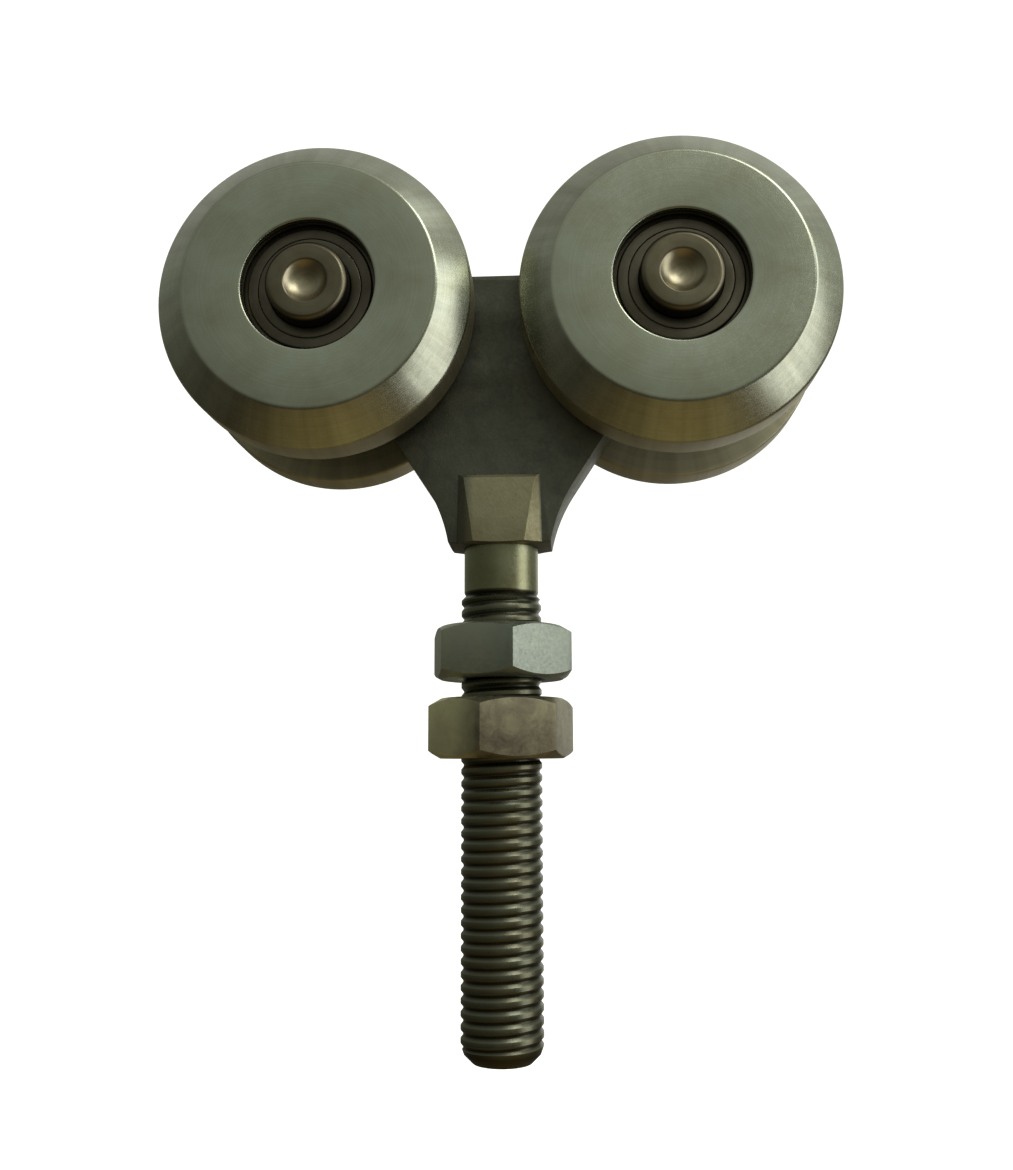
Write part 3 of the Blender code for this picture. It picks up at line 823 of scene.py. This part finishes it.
def thread_mesh(low, high):
    """A helical thread as one closed solid between two heights, rough at its ends."""
    profile = thread_profile()
    turns = math.ceil((high - low) / THREAD_PITCH)
    rows = turns * len(profile)
    shape = bmesh.new()
    columns = []
    for step in range(THREAD_STEPS):
        turn = step / THREAD_STEPS
        angle = math.tau * turn
        column = []
        for row in range(rows + 1):
            share, radius = profile[row % len(profile)]
            height = low + THREAD_PITCH * (row // len(profile) + share + turn)
            column.append(shape.verts.new((radius * math.cos(angle), radius * math.sin(angle), height)))
        columns.append(column)
    for step in range(THREAD_STEPS):
        here = columns[step]
        if step + 1 < THREAD_STEPS:
            ahead, shift = columns[step + 1], 0
        else:
            ahead, shift = columns[0], len(profile)
        for row in range(rows - shift):
            shape.faces.new((here[row], ahead[row + shift], ahead[row + shift + 1], here[row + 1]))

    # Each end is closed by a fan from the axis round its stepped rim.
    count = len(profile)
    bottom = [column[0] for column in columns] + columns[0][count:0:-1]
    top = [column[rows] for column in columns]
    top += columns[-1][rows - 1 : rows - count - 1 : -1]
    for rim, height in ((bottom, low), (top, low + THREAD_PITCH * turns)):
        centre = shape.verts.new((0.0, 0.0, height))
        for start, end in zip(rim, rim[1:] + rim[:1]):
            shape.faces.new((start, end, centre))
    return mesh_from("thread", shape)


def make_stud(finish):
    over = 3 * THREAD_PITCH
    thread = thread_mesh(STUD_BOTTOM - over, THREAD_TOP + over)
    slack = 0.02 * MM
    envelope = turned(
        "stud_envelope",
        [
            (0.0, THREAD_TOP, 0.0),
            (SHANK_RADIUS - 0.35 * MM, THREAD_TOP, 0.0),
            (STUD_RADIUS + slack, THREAD_TOP - 0.75 * MM, 0.0),
            (STUD_RADIUS + slack, STUD_BOTTOM + 1.5 * STUD_CHAMFER, 0.0),
            (STUD_RADIUS - 0.28 * STUD_CHAMFER, STUD_BOTTOM + 0.7 * STUD_CHAMFER, 0.0),
            (STUD_RADIUS - STUD_CHAMFER, STUD_BOTTOM, 0.0),
            (0.0, STUD_BOTTOM, 0.0),
        ],
        closed=False,
        steps=THREAD_STEPS,
    )
    shank = turned(
        "shank",
        [
            (0.0, NECK_BOTTOM + 3.5 * MM, 0.0),
            (SHANK_RADIUS, NECK_BOTTOM + 3.5 * MM, 0.0),
            (SHANK_RADIUS, THREAD_TOP + 0.25 * MM, 0.1 * MM),
            (SHANK_RADIUS - 0.3 * MM, THREAD_TOP - 0.3 * MM, 0.0),
            (0.0, THREAD_TOP - 0.6 * MM, 0.0),
        ],
        closed=False,
        steps=THREAD_STEPS,
    )
    mesh = carved("pendant_stud_fine", thread, [("INTERSECT", envelope, None), ("UNION", shank, None)])
    place = Matrix.Translation((0.0, 0.0, AXLE_HEIGHT))
    show("fine_pendant_stud", mesh, finish["stud"], "hanger", ["pendant_stud"], place)


def hexagon_mesh(height):
    """Hexagon prism standing on Z = 0, with one corner on the -Y side."""
    shape = bmesh.new()
    corner_radius = NUT_ACROSS_FLATS / 2 / math.cos(math.radians(30.0))
    corners = []
    for index in range(6):
        angle = math.radians(60.0 * index - 90.0)
        x = corner_radius * math.cos(angle)
        y = corner_radius * math.sin(angle)
        corners.append(shape.verts.new((x, y, 0.0)))
    face = shape.faces.new(corners)
    grown = bmesh.ops.extrude_face_region(shape, geom=[face])
    moved = [item for item in grown["geom"] if isinstance(item, bmesh.types.BMVert)]
    bmesh.ops.translate(shape, verts=moved, vec=(0.0, 0.0, height))
    return mesh_from("hexagon", shape)


def nut_mesh(height):
    """A nut's turned form, with conical chamfers and a countersunk bore, milled to the hexagon."""
    drop = (NUT_BLANK_RADIUS - NUT_CHAMFER_RADIUS) * math.tan(NUT_CHAMFER_ANGLE)
    bore = STUD_RADIUS + NUT_CLEARANCE
    outline = [
        (bore, NUT_SINK, 0.0),
        (bore + NUT_SINK, 0.0, 0.0),
        (NUT_CHAMFER_RADIUS, 0.0, 0.0),
        (NUT_BLANK_RADIUS, drop, 0.0),
        (NUT_BLANK_RADIUS, height - drop, 0.0),
        (NUT_CHAMFER_RADIUS, height, 0.0),
        (bore + NUT_SINK, height, 0.0),
        (bore, height - NUT_SINK, 0.0),
    ]
    blank = turned("nut_round", outline, steps=144)
    return carved("nut_fine", blank, [("INTERSECT", hexagon_mesh(height), None)], edge=NUT_EDGE)


def make_nuts(finish):
    for name, low, high, turn in (
        ("upper_nut", upper_low, upper_high, UPPER_NUT_TURN),
        ("lower_nut", lower_low, lower_high, LOWER_NUT_TURN),
    ):
        place = Matrix.Translation((0.0, 0.0, low.z)) @ Matrix.Rotation(turn, 4, "Z")
        mesh = nut_mesh(high.z - low.z)
        show("fine_" + name, mesh, finish[name], name, [name], place)


# ---------------------------------------------------------------- studio


def make_camera():
    data = bpy.data.cameras.new("camera")
    data.lens = CAMERA_LENS
    data.sensor_width = 36.0
    data.clip_start = 0.005
    data.clip_end = 20.0
    camera = bpy.data.objects.new("camera", data)
    camera.matrix_world = (
        Matrix.Translation(CAMERA_PLACE)
        @ Matrix.Rotation(CAMERA_TURN, 4, "Z")
        @ Matrix.Rotation(math.radians(90.0) + CAMERA_RISE, 4, "X")
        @ Matrix.Rotation(CAMERA_ROLL, 4, "Z")
    )
    bpy.context.scene.collection.objects.link(camera)
    bpy.context.scene.camera = camera


def soft_box(name, place, size, power, colour):
    """A rectangular light of (width, height) that faces the trolley."""
    data = bpy.data.lights.new(name, "AREA")
    data.shape = "RECTANGLE"
    data.size, data.size_y = size
    data.energy = power
    data.color = colour
    lamp = bpy.data.objects.new(name, data)
    lamp.location = place
    lamp.rotation_euler = (-lamp.location).to_track_quat("-Z", "Y").to_euler()
    bpy.context.scene.collection.objects.link(lamp)


def make_floor():
    """A wide pale floor under the trolley that curves up into a backdrop all round.

    It glows evenly, and it neither lights the trolley nor casts a shadow.
    """
    level = STUD_BOTTOM + AXLE_HEIGHT - FLOOR_DROP
    steps = 12
    outline = [(0.0, level)]
    for step in range(steps + 1):
        angle = math.radians(-90.0 + 90.0 * step / steps)
        radius = FLOOR_REACH - FLOOR_CURVE + FLOOR_CURVE * math.cos(angle)
        outline.append((radius, level + FLOOR_CURVE + FLOOR_CURVE * math.sin(angle)))
    outline.append((FLOOR_REACH, level + BACKDROP_HEIGHT))
    shape = bmesh.new()
    points = [shape.verts.new((radius, 0.0, z)) for radius, z in outline]
    for start, end in zip(points, points[1:]):
        shape.edges.new((start, end))
    bmesh.ops.spin(
        shape,
        geom=shape.verts[:] + shape.edges[:],
        axis=(0.0, 0.0, 1.0),
        angle=math.tau,
        steps=96,
        use_merge=True,
    )
    bmesh.ops.remove_doubles(shape, verts=shape.verts, dist=0.00001)
    mesh = mesh_from("floor", shape)
    material = bpy.data.materials.new("floor_paper")
    material.use_nodes = True
    tree = material.node_tree
    shader = tree.nodes["Principled BSDF"]
    shader.inputs["Base Color"].default_value = (0.6, 0.6, 0.6, 1.0)
    shader.inputs["Roughness"].default_value = 0.9
    shader.inputs["Emission Color"].default_value = (1.0, 1.0, 0.99, 1.0)
    shader.inputs["Emission Strength"].default_value = FLOOR_GLOW
    mesh.materials.append(material)
    floor = bpy.data.objects.new("floor", mesh)
    floor.visible_glossy = False
    floor.visible_diffuse = False
    floor.visible_shadow = False
    bpy.context.scene.collection.objects.link(floor)


def make_world():
    """Soft surroundings: bright overhead and behind, dim at the left, warm brown below."""
    world = bpy.data.worlds.new("studio")
    world.use_nodes = True
    tree = world.node_tree
    background = tree.nodes["Background"]
    heading = add(tree, "ShaderNodeTexCoord").outputs["Generated"]
    place = add(tree, "ShaderNodeSeparateXYZ", {"Vector": heading})
    ramp = add(tree, "ShaderNodeValToRGB", {"Fac": spread(tree, place.outputs["Z"], -1.0, 1.0)})
    stops = ramp.color_ramp.elements
    stops[0].position = 0.0
    stops[0].color = (0.30, 0.225, 0.09, 1.0)
    stops[1].position = 1.0
    stops[1].color = (0.48, 0.48, 0.42, 1.0)
    for position, colour in (
        (0.07, (0.27, 0.20, 0.085)),
        (0.20, (0.088, 0.078, 0.052)),
        (0.42, (0.14, 0.135, 0.10)),
        (0.52, (0.21, 0.21, 0.165)),
        (0.60, (0.30, 0.31, 0.25)),
        (0.69, (0.40, 0.43, 0.36)),
        (0.86, (0.60, 0.61, 0.54)),
    ):
        stop = stops.new(position)
        stop.color = (*colour, 1.0)
    side = spread(tree, place.outputs["X"], -0.5, 0.15, 0.62, 1.12)
    behind = spread(tree, place.outputs["Y"], 0.3, 0.9, 0.0, 0.2)
    level = calculate(tree, "ADD", side, behind)
    tree.links.new(ramp.outputs["Color"], background.inputs["Color"])
    tree.links.new(level, background.inputs["Strength"])
    bpy.context.scene.world = world


def make_lights():
    soft_box("right_window", (0.67, -0.19, 0.0), (0.38, 0.95), 2.3, (1.0, 1.0, 0.96))
    soft_box("front_lamp", (0.41, -0.42, 0.57), (0.40, 0.40), 2.2, (1.0, 1.0, 0.92))
    soft_box("top_light", (0.38, -0.02, 0.72), (0.25, 0.25), 0.12, (1.0, 1.0, 0.97))
    soft_box("back_light", (0.30, 0.72, 0.05), (0.4, 0.6), 0.5, (1.0, 1.0, 1.0))


def main():
    bpy.context.scene.view_settings.view_transform = "Standard"
    finish = make_materials()
    make_wheel_stations(finish)
    make_axles(finish)
    make_hanger_body(finish)
    make_stud(finish)
    make_nuts(finish)
    make_floor()
    make_world()
    make_lights()
    make_camera()


main()
